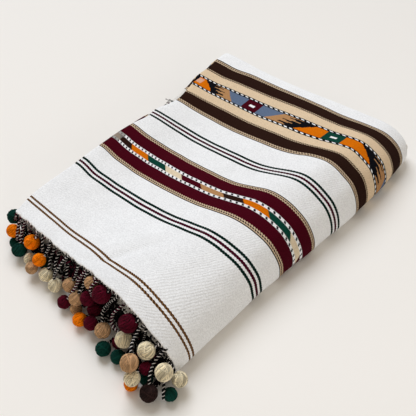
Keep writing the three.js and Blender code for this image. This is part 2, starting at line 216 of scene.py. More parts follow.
# Where the top layer's open edge and that of the layer under it lie in the photo, as y and x.
TOP_EDGE = (
    (-182, -138.5), (-160, -143), (-100, -144), (-50, -144.5), (0, -142), (27, -136.5),
    (42, -138), (60, -132), (78, -130), (96, -133), (114, -137), (130, -142.5), (156, -142.5),
    (176, -145.5), (200, -146),
)
NEXT_EDGE = (
    (-182, -140.5), (-100, -143.5), (-40, -145), (5, -145.5), (22, -144), (38, -141), (60, -138),
    (80, -137.5), (100, -140), (118, -143.5), (134, -147), (160, -147), (178, -150), (200, -150),
)
CORNER_REACH = 4.5  # how far the far corner of the open side stands out
EDGE_REACH = 42.0  # how far in from the open side the cloth is drawn along with its edge
OFF_FLOOR = 0.1  # how far the underside stays above the floor


def edge_shift(s, y):
    """How far the top layer is drawn across at s and y, for its edge to lie on its line."""
    line = curve_through(y, *zip(*TOP_EDGE)) - LEFT
    return line * (1 - smooth(s / EDGE_REACH))


def cloth_place(u, v):
    """s and t of the cloth at u and v."""
    u, v = np.broadcast_arrays(np.asarray(u, float), np.asarray(v, float))
    s = np.interp(u, SHARES, ACROSS)
    y = np.minimum(v, FAR)
    s = s + edge_shift(s, y)
    t = y - bow(s, y)
    over = np.maximum(v - FAR, 0.0) / FAR_TURN * ROLL_LENGTH
    return s, t + over


# Creases: s and t of the middle, half the width and the length, the turn, and the
# height in mm, which is below zero for a trough.
CREASES = (
    (163, 20, 26, 95, 0.10, -2.6),
    (213, 40, 15, 110, 0.06, 1.5),
    (52, 110, 26, 70, -0.05, 1.5),
    (22, 150, 12, 38, 0.10, -1.4),
    (120, 165, 44, 26, 0.30, 1.0),
    (185, 160, 16, 44, -0.20, -1.3),
    (20, -60, 14, 60, -0.08, -1.2),
    (95, -110, 40, 30, 0.50, -0.9),
    (150, -135, 12, 36, 0.30, 1.2),
    (166, -150, 7, 26, 0.35, -1.5),
    (232, -120, 10, 52, -0.12, -1.0),
    (252, -40, 9, 60, 0.05, 0.8),
    (246, 60, 10, 70, -0.06, -1.2),
    (60, -150, 18, 22, -0.30, 0.8),
    (262, 120, 9, 50, 0.10, 0.9),
    (285, -90, 8, 40, 0.12, -1.0),
    (300, 30, 9, 70, -0.08, 0.9),
)


def relief(u, v):
    """How far the creases and a faint unevenness lift the cloth off its form."""
    s, t = cloth_place(u, v)
    lift = np.zeros_like(s)
    for middle_s, middle_t, wide, long, turned, height in CREASES:
        along = t - middle_t
        off = s - middle_s - turned * along
        lift += height * np.exp(-((off / wide) ** 2 + (along / long) ** 2))
    lift += 0.28 * np.sin(s / 17.0 + 1.3 * np.sin(t / 31.0)) * np.sin(t / 23.0 + s / 60.0)
    lift += 0.12 * np.sin(s / 6.1 + t / 9.7) * np.sin(t / 7.3 - s / 13.0)
    edge = smooth(s / 6.0) * smooth((t - NEAR) / 8.0)
    return lift * lerp(0.25, 1.0, edge)


def cloth_point(u, v):
    """The outer face of the cloth, creases included, with a ragged fringed edge."""
    above = np.where(np.asarray(u) > TUCK_SHARE, 0.0, 1.0)
    normal = surface_normal(form_point, u, v)
    s = np.interp(u, SHARES, ACROSS)
    at_fringe = np.exp(-((np.asarray(v, float) - NEAR) / 5.0) ** 2)
    at_corner = smooth((np.asarray(v, float) - 176.0) / 16.0) * np.exp(-(s / 55.0) ** 2)
    point = form_point(u, v) + normal * (relief(u, v) * above)[..., None]
    point[..., 0] += edge_shift(s, np.minimum(v, FAR)) * above
    point[..., 1] += CORNER_REACH * at_corner * above
    point[..., 1] -= at_fringe * (0.5 * np.sin(s / 7.7) + 0.35 * np.sin(s / 3.1 + 1.0))
    point[..., 2] = np.maximum(point[..., 2], OFF_FLOOR)
    return point


# Meshes.

def placed(name, data):
    """A new object in the scene."""
    piece = bpy.data.objects.new(name, data)
    bpy.context.scene.collection.objects.link(piece)
    return piece


def mesh_piece(name, points, faces, materials, uvs=None, face_material=None):
    """A shaded mesh from points in mm. uvs are one dict of name to a place for every point."""
    mesh = bpy.data.meshes.new(name)
    mesh.from_pydata((np.asarray(points) * MM).tolist(), [], faces)
    for material in materials:
        mesh.materials.append(material)
    if face_material is not None:
        mesh.polygons.foreach_set("material_index", np.asarray(face_material, np.int32))
    mesh.polygons.foreach_set("use_smooth", np.ones(len(mesh.polygons), bool))
    corners = np.empty(len(mesh.loops), np.int32)
    mesh.loops.foreach_get("vertex_index", corners)
    for layer_name, places in (uvs or {}).items():
        layer = mesh.uv_layers.new(name=layer_name)
        layer.data.foreach_set("uv", np.asarray(places, np.float32)[corners].ravel())
    mesh.update()
    piece = placed(name, mesh)
    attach(piece, "root")
    return piece


def grid_faces(rows, columns, start=0, flip=False, closed=False):
    """Quads over a grid of rows by columns. A closed grid joins its last column to its first."""
    last = columns if closed else columns - 1
    faces = []
    for r in range(rows - 1):
        for c in range(last):
            d = (c + 1) % columns
            a, b = start + r * columns + c, start + r * columns + d
            quad = (a, b, b + columns, a + columns)
            faces.append(quad[::-1] if flip else quad)
    return faces


# Colours and shader sums.

def linear(code):
    """A colour written as sRGB hex, in linear light."""
    values = [int(code[k:k + 2], 16) / 255 for k in (1, 3, 5)]
    return tuple(v / 12.92 if v <= 0.04045 else ((v + 0.055) / 1.055) ** 2.4 for v in values) + (1,)


COLOURS = {name: linear(code) for name, code in {
    "white": "#f0f1f2",
    "maroon": "#440313",
    "dark_brown": "#29160f",
    "beige": "#dec6a6",
    "orange": "#d66e02",
    "green": "#0a3f33",
    "cream": "#e0cfb2",
    "tan": "#b3865a",
    "blue": "#5e6e88",
    "black": "#0b0c12",
    "greige": "#d3bb9d",
    "dots": "#1e130d",
    "line_brown": "#4a2e18",
    "line_light": "#8a663f",
    "line_green": "#042019",
    "line_maroon": "#3e0419",
    "grey": "#87837d",
    "pink": "#d9a68a",
}.items()}


def feed(tree, place, value):
    """Sets an input of a shader node to a plain value, or links it to a field or an output."""
    if isinstance(value, Field):
        value = value.socket
    if isinstance(value, bpy.types.NodeSocket):
        tree.links.new(value, place)
    else:
        place.default_value = value


class Field:
    """A number that varies over a surface, kept as the output of a shader node."""

    def __init__(self, tree, socket):
        self.tree = tree
        self.socket = socket

    def math(self, operation, *others):
        node = self.tree.nodes.new("ShaderNodeMath")
        node.operation = operation
        for place, value in zip(node.inputs, (self, *others)):
            feed(self.tree, place, value)
        return Field(self.tree, node.outputs[0])

    def __add__(self, other):
        return self.math("ADD", other)

    def __sub__(self, other):
        return self.math("SUBTRACT", other)

    def __mul__(self, other):
        return self.math("MULTIPLY", other)

    def under(self, limit):
        return self.math("LESS_THAN", limit)

    def between(self, low, high):
        return self.math("COMPARE", (low + high) / 2, (high - low) / 2)

    def wave(self, length, shift=0.0):
        """A sine of that length."""
        return (self * (2 * math.pi / length) + shift).math("SINE")

    def stepped(self, size):
        """The middle of the step that the value is in."""
        return (self * (1 / size)).math("FLOOR") * size + size / 2

    def cycle(self, length):
        """How far the value is into its repeat, from 0 to 1."""
        return (self * (1 / length)).math("FRACT")


class Painter:
    """Lays colours over one another in a shader, each where its mask is 1."""

    def __init__(self, tree, ground):
        self.tree = tree
        self.colour = ground

    def lay(self, mask, colour):
        node = self.tree.nodes.new("ShaderNodeMix")
        node.data_type = "RGBA"
        for number, value in ((0, mask), (6, self.colour), (7, colour)):
            feed(self.tree, node.inputs[number], value)
        self.colour = node.outputs[2]


def new_material(name):
    material = bpy.data.materials.new(name)
    material.use_nodes = True
    tree = material.node_tree
    shader = next(n for n in tree.nodes if n.type == "BSDF_PRINCIPLED")
    return material, tree, shader


def position(tree):
    """The place on the object itself in mm, as three fields."""
    node = tree.nodes.new("ShaderNodeTexCoord")
    parts = tree.nodes.new("ShaderNodeSeparateXYZ")
    tree.links.new(node.outputs["Object"], parts.inputs[0])
    return [Field(tree, parts.outputs[n]) * 1000.0 for n in range(3)], node.outputs["Object"]


def noise(tree, size_mm, place, detail=2.0):
    """Noise from 0 to 1 with lumps of about that size."""
    node = tree.nodes.new("ShaderNodeTexNoise")
    for name, value in (("Scale", 1000.0 / size_mm), ("Detail", detail), ("Vector", place)):
        feed(tree, node.inputs[name], value)
    return Field(tree, node.outputs[0])


def shade_wool(tree, shader, colour, height, bump, sheen, gloss=0.05):
    """Dull, slightly downy wool of a colour, with its threads as a bump."""
    for name, value in (
        ("Base Color", colour), ("Roughness", 0.92), ("Specular IOR Level", gloss),
        ("Sheen Weight", sheen), ("Sheen Roughness", 0.6),
    ):
        feed(tree, shader.inputs[name], value)
    node = tree.nodes.new("ShaderNodeBump")
    for name, value in (("Strength", 1.0), ("Distance", bump * MM), ("Height", height)):
        feed(tree, node.inputs[name], value)
    tree.links.new(node.outputs[0], shader.inputs["Normal"])


def scaled(tree, colour, gain):
    """The colour multiplied by a field."""
    node = tree.nodes.new("ShaderNodeVectorMath")
    node.operation = "SCALE"
    feed(tree, node.inputs[0], colour[:3] if isinstance(colour, tuple) else colour)
    feed(tree, node.inputs["Scale"], gain)
    return node.outputs[0]


def varied(tree, colour, amount, field):
    """The colour made lighter and darker by a field from 0 to 1."""
    return scaled(tree, colour, field * (2 * amount) + (1 - amount))


# The woven bands, placed by t in mm.

BROWN_LINES = (-163.4, -158.3)
TRIPLES = (-86.0, 36.0)  # the middle line of green, maroon, green
TRIPLE_APART = 5.6
LINE = 3.0  # width of a single coloured line
BROWN_LINE = 2.4

# The maroon band, from its fringe side to its far side.
MAROON_BAND = {
    "border": (-55.0, -49.6),
    "line": (-34.2, -30.6),
    "blocks": (-30.6, -23.0),
    "line_far": (-23.0, -19.2),
    "border_far": (-3.4, 2.0),
}
# The wide brown band.
WIDE_BAND = {
    "border": (72.4, 78.4),
    "lines": (95.4, 99.6),
    "beige": (99.6, 112.8),
    "dashes": (112.8, 117.0),
    "figures": (117.0, 134.6),
    "dashes_far": (134.6, 139.0),
    "beige_far": (139.0, 152.6),
    "lines_far": (152.6, 157.4),
    "border_far": (176.0, 182.0),
}

# Where each block of the maroon band starts in the photo, in mm from the open side, and the
# colours in turn.
BLOCK_STARTS = (-24, 4, 25, 51, 80, 107.5, 139, 172, 197, 229, 262, 292)
BLOCK_COLOURS = ("dark_brown", "orange", "green", "cream", "maroon", "tan")
BLOCK_LEAN = 1.05 / 28.0  # how far a block leans per mm of its height, in blocks
# Places across the wide band in the photo, and their figure numbers. A whole number is the middle
# of a square, of a maroon one if it is even and of a green one if it is odd.
FIGURE_PLACES = (
    (-30, -1.12), (0, -0.88), (24, -0.65), (37, -0.477), (51.5, -0.297), (84, 0.0),
    (117, 0.297), (137, 0.477), (156, 0.65), (184, 0.9), (195, 1.0), (206, 1.1),
    (245, 1.35), (268, 1.52), (294, 1.70), (320, 1.95),
)
FIGURE_LENGTH = 111.0  # the usual length of a figure
BLOCK_LENGTH = 30.0  # and of a block
PICK = 1.25  # from one pick of the weft to the next
FIGURE_STEP = 1.3  # the steps of a figure's slanting sides
BORDER_REPEAT = 3.1  # from one dash of a border to the next
BORDER_SLANT = 0.9
# Where the rows of a border start and end, as shares of the way in from its outer side.
BORDER_ROWS = {"ground": (0.0, 0.84), "line": (0.0, 0.23), "dashes": (0.4, 0.71), "dots": (0.84, 1.0)}
# How far each colour reaches from the middle of a maroon square toward that of the next green
# one, halfway up, and how much its end slants. Later ones lie on earlier ones.
FIGURE_COLOURS = (
    ("orange", 0.902, 0.0), ("black", 0.68, 0.095), ("tan", 0.48, 0.08), ("blue", 0.297, 0.083),
    ("maroon", 0.088, 0.0),
)
FINGER_HEIGHT = 2.85  # half the height of a tan finger and its gap
FINGERS_FROM = 129.4  # the t of one finger's middle
FINGER_REACH = 0.1  # half the length of a finger, in the same shares
# From one place across to the next, the length of a repeat of the dots and of the dashes.
REPEATS = ((0, 5.1, 6.6), (70, 5.3, 6.8), (110, 7.2, 7.5), (190, 7.6, 7.5), (400, 6.6, 7.0))


def pattern_places(s):
    """The block number and the figure number at s, each going on evenly past its last place."""
    starts = list(BLOCK_STARTS)
    while starts[-1] < FOLDED_WIDTH + BLOCK_LENGTH:
        starts.append(starts[-1] + BLOCK_LENGTH)
    block = np.interp(s, starts, np.arange(len(starts)) - 1.0)
    places = list(FIGURE_PLACES)
    while places[-1][0] < FOLDED_WIDTH + FIGURE_LENGTH:
        places.append((places[-1][0] + FIGURE_LENGTH, places[-1][1] + 1.0))
    figure = np.interp(s, [p[0] for p in places], [p[1] for p in places])
    return block, figure


def repeat_places(s):
    """How many dots and dashes lie between the open side and s."""
    at = np.linspace(-20.0, 700.0, 1441)
    starts = [r[0] for r in REPEATS]
    counts = []
    for column in (1, 2):
        size = np.interp(at, starts, [r[column] for r in REPEATS])
        run = np.concatenate([[0.0], np.cumsum(np.diff(at) / size[1:])])
        counts.append(np.interp(s, at, run) + 20.0)
    return counts


def cloth_uvs(s, t):
    pairs = {"cloth": (s, t), "pattern": pattern_places(s), "repeats": repeat_places(s)}
    return {name: np.stack(pair, axis=-1) for name, pair in pairs.items()}


def uv_fields(tree, name):
    node = tree.nodes.new("ShaderNodeUVMap")
    node.uv_map = name
    parts = tree.nodes.new("ShaderNodeSeparateXYZ")
    tree.links.new(node.outputs[0], parts.inputs[0])
    return Field(tree, parts.outputs[0]), Field(tree, parts.outputs[1])


def lay_lines(paint, s, t):
    """The single lines: two twisted brown ones, and green, maroon, green twice."""
    tooth = s.wave(3.2) * 0.22
    wavy = t + tooth
    for line in BROWN_LINES:
        mask = wavy.between(line - BROWN_LINE / 2, line + BROWN_LINE / 2)
        paint.lay(mask, COLOURS["line_brown"])
        twist = (s + t * 1.4).cycle(3.0).under(0.32)
        paint.lay(mask * twist, COLOURS["line_light"])
    for middle in TRIPLES:
        for off, colour in ((-1, "line_green"), (0, "line_maroon"), (1, "line_green")):
            at = middle + off * TRIPLE_APART
            paint.lay(wavy.between(at - LINE / 2, at + LINE / 2), COLOURS[colour])


def lay_border(paint, s, t, outer, inner):
    """A narrow border: a dark line and a row of slanting dark dashes on a pale ground, then pale
    dots on the band's own colour."""
    def rows(name):
        edges = [lerp(outer, inner, share) for share in BORDER_ROWS[name]]
        return t.between(min(edges), max(edges))

    slanting = s + t * BORDER_SLANT
    dashes = slanting.cycle(BORDER_REPEAT).under(0.72)
    dots = (slanting + 0.7).cycle(BORDER_REPEAT).under(0.5)
    paint.lay(rows("ground"), COLOURS["greige"])
    paint.lay(rows("line"), COLOURS["dots"])
    paint.lay(rows("dashes") * dashes, COLOURS["dots"])
    paint.lay(rows("dots") * dots, COLOURS["greige"])


def lay_maroon_band(paint, s, t, block, dots_at):
    band = MAROON_BAND
    paint.lay(t.between(band["border"][0] + 4.0, band["border_far"][1] - 4.0), COLOURS["maroon"])
    lay_border(paint, s, t, *band["border"])
    lay_border(paint, s, t, *band["border_far"][::-1])
    low, high = band["blocks"]
    inside = t.between(low, high)
    lean = (t.stepped(PICK) - (low + high) / 2) * BLOCK_LEAN
    number = (block + lean).math("FLOOR").math("FLOORED_MODULO", float(len(BLOCK_COLOURS)))
    for place, colour in enumerate(BLOCK_COLOURS):
        paint.lay(inside * number.between(place - 0.4, place + 0.4), COLOURS[colour])
    for name in ("line", "line_far"):
        low, high = band[name]
        paint.lay(t.between(low, high), COLOURS["white"])
        middle = (low + high) / 2
        for off, shift in ((-0.7, 0.0), (0.7, 0.14)):
            dots = (dots_at + shift).cycle(1.0).under(0.36)
            paint.lay(t.between(middle + off - 0.75, middle + off + 0.75) * dots,
                      COLOURS["black"])
    end = s.under(6.0) * t.between(band["line"][0], band["line_far"][1])
    paint.lay(end * 0.8, COLOURS["grey"])


def lay_wide_band(paint, s, t, figure, dashes_at):
    band = WIDE_BAND
    paint.lay(t.between(band["border"][0] + 4.5, band["border_far"][1] - 4.5),
              COLOURS["dark_brown"])
    lay_border(paint, s, t, *band["border"])
    lay_border(paint, s, t, *band["border_far"][::-1])
    for name in ("lines", "lines_far"):
        low, high = band[name]
        size = (high - low) / 4
        for row in (1, 3) if name == "lines" else (0, 2):
            mask = t.between(low + size * row, low + size * (row + 1))
            paint.lay(mask * (s + row).cycle(2.7).under(0.68), COLOURS["beige"])
    paint.lay(t.between(band["beige"][0], band["beige_far"][1]), COLOURS["beige"])
    lay_figures(paint, s, t, figure)
    for name in ("dashes", "dashes_far"):
        low, high = band[name]
        paint.lay(t.between(low, high), COLOURS["black"])
        middle = (low + high) / 2
        dashes = (dashes_at + (t - middle) * 0.15).cycle(1.0).under(0.55)
        paint.lay(t.between(middle - 0.9, middle + 0.95) * dashes, COLOURS["white"])


def lay_figures(paint, s, t, figure):
    """Between two squares: blue, tan fingers in black ones, and orange, mirrored at each square."""
    low, high = WIDE_BAND["figures"]
    middle = (low + high) / 2
    half = (high - low) / 2
    inside = t.between(low, high)
    rows = t.stepped(FIGURE_STEP)
    rise = (rows - middle) * (1 / half)
    off = (figure.math("PINGPONG", 1.0)).stepped(FIGURE_STEP / FIGURE_LENGTH)
    finger = (rows - FINGERS_FROM).math("PINGPONG", FINGER_HEIGHT) * (-2 / FINGER_HEIGHT) + 1.0
    paint.lay(inside, COLOURS["green"])
    for colour, reach, slant in FIGURE_COLOURS:
        end = off - rise * slant
        if colour == "tan":
            end = end - finger * FINGER_REACH
        paint.lay(inside * end.under(reach), COLOURS[colour])
    at_middle = figure.cycle(1.0).math("PINGPONG", 0.5).under(0.034)
    paint.lay(t.between(middle - 2.0, middle + 1.6) * at_middle, COLOURS["white"])
    paint.lay(inside * s.under(2.2), COLOURS["black"])
    patch = s.between(2.2, 9.5) * t.between(middle - 4.5, middle + 7.0)
    paint.lay(patch * inside, COLOURS["pink"])


def cloth_material(name, ground, shade=0.0):
    """White wool with its woven bands on a ground colour; shade raises the mottle's contrast. For the
    cloth inside the folds the ground is greyer, as painted shade.
    """
    material, tree, shader = new_material(name)
    s, t = uv_fields(tree, "cloth")
    block, figure = uv_fields(tree, "pattern")
    paint = Painter(tree, ground)
    lay_lines(paint, s, t)
    dots_at, dashes_at = uv_fields(tree, "repeats")
    lay_maroon_band(paint, s, t, block, dots_at)
    lay_wide_band(paint, s, t, figure, dashes_at)
    _, place = position(tree)
    mottle = noise(tree, 1.4, place, 2.0) * 0.85 + noise(tree, 24.0, place, 1.0) * 0.15
    colour = varied(tree, paint.colour, 0.3 + shade, mottle)
    bent = noise(tree, 9.0, place, 1.0) * 2.2
    ribs = (s * 0.92 - t * 0.4 + bent).wave(2.6) * 0.34
    picks = t.wave(PICK) * s.wave(1.5) * 0.35
    height = ribs + picks + noise(tree, 1.5, place, 2.0) * 1.5
    shade_wool(tree, shader, colour, height, 0.28, sheen=0.01, gloss=0.02)
    return material


WHITE_CLOTH = cloth_material("white_wool_bands", COLOURS["white"])
# The inner layers' cloth: the same white wool on a greyer ground, painted shade for cloth inside the
# folds.
SHADED_INNER_CLOTH = cloth_material("inner_wool_bands_painted_shade", linear("#e2dfd9"), 0.02)


# The outer layer.

def uneven(stops):
    """Values between stops, each stop a pair of a value and the steps to the next."""
    values = []
    for (start, steps), (end, _) in zip(stops, stops[1:]):
        values += list(np.linspace(start, end, steps, endpoint=False))
    return np.array(values + [stops[-1][0]])


RIM_STEPS = 4


def shawl_cloth():
    """The outer layer as a closed thin shell with round rims at its open side and its fringe."""
    us = uneven([(0.0, 118), (CREST_SHARE, 44), (BULGE_SHARE, 14), (TUCK_SHARE, 26), (1.0, 0)])
    vs = uneven([(NEAR, 6), (NEAR + 6, 140), (FAR, 22), (FAR + FAR_TURN, 0)])
    uu, vv = np.meshgrid(us, vs)
    outer = cloth_point(uu, vv)
    inner = outer - surface_normal(form_point, uu, vv) * CLOTH
    place = np.stack(cloth_place(uu, vv), axis=-1).reshape(-1, 2)
    rows, columns = uu.shape
    count = rows * columns
    points = [outer.reshape(-1, 3), inner.reshape(-1, 3)]
    places = [place, place]
    faces = grid_faces(rows, columns) + grid_faces(rows, columns, count, flip=True)

    def rim(line, out, backward):
        """A half-round rim between the two walls along a row or column of the grid."""
        one, other = points[0][line], points[1][line]
        middle = (one + other) / 2
        strips = [line]
        for k in range(1, RIM_STEPS):
            angle = math.pi * k / RIM_STEPS
            reach = np.array(out) * math.sin(angle) * CLOTH / 2
            strips.append(np.arange(len(line)) + sum(map(len, points)))
            points.append(middle + (one - middle) * math.cos(angle) + reach)
            places.append(place[line])
        strips.append(line + count)
        for near, far in zip(strips, strips[1:]):
            quads = np.stack([near[:-1], near[1:], far[1:], far[:-1]], axis=1)
            faces.extend(map(tuple, (quads[:, ::-1] if backward else quads).tolist()))

    rim(np.arange(columns), (0, -1.0, 0), True)
    rim(np.arange(count - columns, count), (0, 0.5, 0), False)
    rim(np.arange(0, count, columns), (-1.0, 0, 0), False)
    rim(np.arange(columns - 1, count, columns), (-1.0, 0, 0), True)
    s, t = np.concatenate(places).T
    return mesh_piece("shawl_cloth", np.concatenate(points), faces, [WHITE_CLOTH], cloth_uvs(s, t))


# The folded layers inside, each a thin pillow with round rims.

LAYERS = (1, 2, 1, 1, 2, 2, 1, 2, 1, 1, 2, 2, 1, 1)  # single layers and folded pairs, from below
STRIPE_SLIP = (0, 21, -6, 25, -14, 9, 27, -9, 4, 18, -12, 24, -7, 28)  # how far each layer slid
LAYER_RIM = 2.6  # width of a layer's round rim
LAYER_RINGS = np.array([0.0, 0.13, 0.5, 1.0]) * LAYER_RIM  # how far in its rings lie
LAYER_AIR = 0.12  # half the air between two layers
LAYER_ENDS = 4.5  # how far the layers end before the far fold
SIDE_AIR = 3.0  # air between the layers and the side fold
LEFT_SETBACK = RECESS * 0.75  # how far the layers lie behind the fringed edge,
RIGHT_SETBACK = 1.6  # and how far near the side fold
# Height and length of the waves of a layer's open side and of its fringed end.
WANDER = ((1.5, 41.0), (0.9, 17.0), (0.3, 6.0))
RAGGED = ((2.2, 33.0), (1.1, 12.0), (0.5, 4.3))
INSIDE = CLOTH + HOLD


def layer_stations(count):
    """Shares of the way over a layer, the shift of each in from the ends, and its rim's depth."""
    inner = np.linspace(0, 1, count)[1:-1]
    share = np.concatenate([np.zeros(4), inner, np.ones(4)])
    shift = np.concatenate([LAYER_RINGS, 0 * inner, LAYER_RINGS - LAYER_RIM])
    depth = np.where((share > 0) & (share < 1), 1.0, np.abs(shift) / LAYER_RIM)
    return share, shift, depth


def waves(at, phases, sizes, base=0.0):
    """A base with waves on it, each of a height and a length."""
    return sum((h * np.sin(at / w + p) for (h, w), p in zip(sizes, phases)), base)


def layer_plan(across, shift_x, along, middle, double, phase):
    """x and y of a layer at shares across and along. middle is its height share."""
    y_line = lerp(NEAR, FAR, along)
    row = section_at(y_line)
    height = INSIDE + middle * (row["crest"] - 2 * INSIDE)
    turn = np.arccos(np.clip((height - BULGE) / (row["crest"] - BULGE), 0, 1))
    side = np.where(height > BULGE, lerp(row["crest_at"], row["edge"], np.sin(turn)), row["edge"])
    wander = waves(y_line, phase[:3], WANDER)
    next_line = curve_through(y_line, *zip(*NEXT_EDGE)) + wander * 0.25
    lower_line = LEFT - 1.2 + wander - (1.2 if double else 0.0)
    left = lerp(lower_line, next_line, smooth((middle - 0.7) / 0.2))
    x = lerp(left, side - CLOTH - SIDE_AIR, across) + shift_x
    far_top = top_height(section_at(FAR + 0 * x), x)
    height = INSIDE + middle * (far_top - 2 * INSIDE)
    up = np.clip((height - CREASE) / (40.0 - CREASE), 0, 1)
    down = np.clip((CREASE - height) / CREASE, 0, 1)
    turn = np.minimum(np.arccos(np.maximum(up, down)), math.radians(FAR_TURN))
    far = FAR + FAR_ROLL * np.sin(turn) - LAYER_ENDS
    setback = lerp(LEFT_SETBACK, RIGHT_SETBACK, smooth((x + 10) / 50))
    setback = waves(x, phase[3:], RAGGED, setback)
    return x, lerp(NEAR + setback, far, along), row


def shawl_layers():
    grids = [np.meshgrid(a, b) for a, b in zip(layer_stations(26), layer_stations(62))]
    (across, along), (shift_x, shift_y), (depth_x, depth_y) = grids
    inset = np.minimum(depth_x, depth_y)
    round_share = np.sqrt(1 - (1 - inset) ** 2)
    rows, columns = across.shape
    count = rows * columns
    points, faces, places = [], [], []
    level = 0
    for number, thick in enumerate(LAYERS):
        phase = rng.uniform(0, 6.28, 6)
        low, high = level / sum(LAYERS), (level + thick) / sum(LAYERS)
        level += thick
        x, y, row = layer_plan(across, shift_x, along, (low + high) / 2, thick == 2, phase)
        y += shift_y
        skew = row["skew"] * (x - LEFT)
        fall = smooth((y + skew - FAR) / (FAR_ROLL * 1.1))
        top = lerp(outer_height(row, x) - INSIDE, CREASE + 2.0, fall)
        base = lerp(INSIDE, CREASE - 2.0, fall)
        z_low, z_high = lerp(base, top, low), lerp(base, top, high)
        half = ((z_high - z_low) / 2 - LAYER_AIR) * round_share
        place = np.stack([x - LEFT, y - STRIPE_SLIP[number]], axis=-1).reshape(-1, 2)
        for lift, flip in ((half, False), (-half, True)):
            faces += grid_faces(rows, columns, len(points) * count, flip)
            surface = np.stack([x, y + skew, (z_low + z_high) / 2 + lift], axis=-1)
            points.append(surface.reshape(-1, 3))
            places.append(place)
    s, t = np.concatenate(places).T
    return mesh_piece(
        "shawl_layers", np.concatenate(points), faces, [SHADED_INNER_CLOTH], cloth_uvs(s, t)
    )


cloth = shawl_cloth()
layers = shawl_layers()
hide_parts("outer_layer")
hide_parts("hidden_layers")


# Pompoms.

# Each yarn's colour, and how much lighter and darker its single turns are; the same amount darkens
# the core between the turns, as painted shade.
YARN_COLOURS = {
    "green": ("#0a3830", 0.92),
    "orange": ("#ec7d05", 0.7),
    "cream": ("#e0d4b6", 0.8),
    "tan": ("#bb956f", 0.72),
    "maroon": ("#4f071c", 0.95),
    "brown": ("#2c1d1b", 0.85),
}


def yarn_material(colour):
    material, tree, shader = new_material(f"yarn_{colour}")
    _, place = position(tree)
    fine = noise(tree, 0.8, place, 2.0)
    soft = noise(tree, 4.0, place, 2.0)
    own, _ = uv_fields(tree, "shade")
    # own is each turn's own tone, and 0 on the core, which paints shade in the gaps between the
    # turns.
    mixed = fine * 0.22 + soft * 0.1 + own * 0.68
    code, contrast = YARN_COLOURS[colour]
    shade = varied(tree, linear(code), contrast, mixed)
    shade_wool(tree, shader, shade, fine, 0.25, sheen=0.02)
    return material


WOUND = 0.9  # the yarn's reach over the pompom's own radius, without its thickness
YARNS = {colour: yarn_material(colour) for colour in YARN_COLOURS}
BALLS = []
for node in sorted(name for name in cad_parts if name.startswith("pompom_")):
    low, high = (np.array(corner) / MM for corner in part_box(node))
    BALLS.append({
        "node": node,
        "colour": node.split("_")[1],
        "number": int(node.split("_")[2]),
        "place": (low + high) / 2,
        "radius": (high[2] - low[2]) / 2,
    })


# The cords of the fringe.

CORD_RADIUS = 1.75
PLIES = (("black", 0.98), ("black", 0.98), ("white", 0.66))  # each one's colour and radius
PLY_OFF = 0.86  # how far a ply's middle lies from the cord's
TURN_LENGTH = 3.7  # mm of cord for one turn of its plies
POINTS = 12  # points of a cord while it settles
SETTLING = 240  # rounds of settling
SAG = 0.02  # how far a point sinks in a round
SLACK = 1.1  # a cord's length over the straight way to its pompom
LOW_ROOTS_AT = 12.0  # height of the roots of the cords that hang from the lower layers
ROOM = 4.6  # the least room for a cord's root
LAST_ROOT = {"top": 99.0, "low": 86.0}  # the furthest x of a root
# A cord may have a maroon ply if its root lies before this x, or at one of the two below.
MAROON_BEFORE = 10
MAROON_ALSO = (36, 68)
# The pompoms that hang from the lower layers.
LOW_FROM = {3, 6, 7, 9, 10, 13, 18, 19, 20, 23, 24, 25, 26, 29, 30, 31, 32, 36, 37}
# Cords that lie in front, after the photo: the number of a pompom, or 0 for a cord whose pompom
# lies hidden, and the cord's way as x, distance out from the edge, and z.
HAND_LAID = (
    (3, ((-131, -1, 41), (-130, 6, 33), (-129, 12, 24), (-129, 13, 18))),
    (4, ((-124, -1, 40), (-124, 5, 32), (-122, 12, 23))),
    (0, ((-94, -1, 41), (-91, 2, 37), (-88, 6, 31), (-89, 7, 24))),
    (10, ((-75, -2, 34), (-75, 6, 26), (-70, 13, 22))),
    (0, ((-66, -2, 36), (-65, 5, 30), (-63, 10, 25), (-64, 11, 17))),
    (11, ((-43, -1, 51), (-49, 5, 43), (-52, 12, 34), (-56, 17, 24))),
    (0, ((-47, -1, 38), (-48, 4, 31), (-46, 8, 24), (-47, 9, 15))),
    (13, ((-16, -1, 54), (-21, 6, 43), (-23, 13, 33), (-27, 21, 20))),
    (21, ((30, -1, 54), (23, 4, 44), (17, 7, 34), (15, 12, 25))),
    (23, ((36, -2, 46), (33, 5, 42), (30, 10, 36), (32, 14, 27))),
    (28, ((68, -1, 48), (63, 5, 42), (64, 12, 39), (68, 20, 41))),
    (33, ((93, -1, 36), (90, 6, 30), (90, 15, 26), (94, 24, 24))),
    (35, ((94, -1, 29), (99, 3, 24), (105, 4, 20))),
    (36, ((99, 2, 21), (102, 12, 16.5), (106, 18, 16), (110, 23, 14), (112, 25.5, 8))),
)
OPEN_PLACES = ((-108, -60), (18, 62))  # where the layers show under the rim
FREE_CORDS = 16  # cords whose pompoms lie hidden, between the ones that show


def edge_y(x):
    return NEAR + SECTION_ROWS[0, 1] * (x - LEFT)


def rim_height(x):
    """The height of the cloth's middle at the fringed edge."""
    return float(outer_height(section_at(NEAR), x)) - CLOTH / 2


def spread(xs, apart, low, high):
    """Pushes sorted places apart until each has its room."""
    xs = np.array(xs, float)
    for _ in range(200):
        xs = np.clip(xs, low, high)
        missing = np.maximum(apart - np.diff(xs), 0.0) / 2
        xs[1:] += missing
        xs[:-1] -= missing
    return xs


